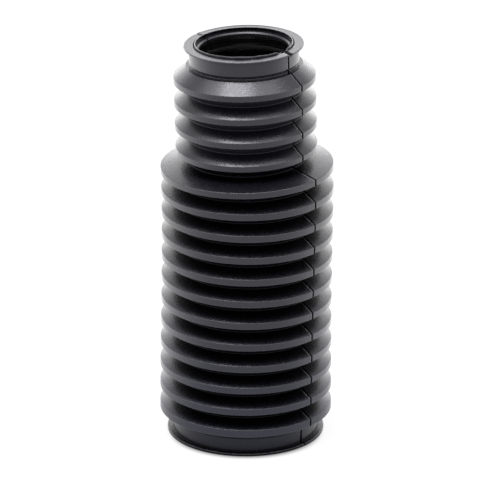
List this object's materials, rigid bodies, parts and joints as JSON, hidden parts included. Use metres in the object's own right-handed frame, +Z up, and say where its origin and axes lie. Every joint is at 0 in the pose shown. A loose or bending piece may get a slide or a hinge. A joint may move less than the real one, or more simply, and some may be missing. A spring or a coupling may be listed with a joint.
{
  "type": "rubber bellows boot",
  "caption": "Black rubber bellows boot for a telescopic leg: round V folds, wide below and narrower above, with a flanged collar at each end.",
  "frame": {"origin": "centre of the bottom flange's flat underside, on which the boot stands", "axes": "+Z up the boot's axis, from the wide bottom collar to the narrow top collar; the moulding's parting line runs down the side 51 degrees from -Y towards +X, and down the opposite side"},
  "size_m": [0.076, 0.076, 0.1812],
  "materials": {
    "rubber": "matte, with the fine grain of a blasted mould"
  },
  "bodies": {
    "root": {"bellows_boot": "rubber"}
  },
  "joints": []
}
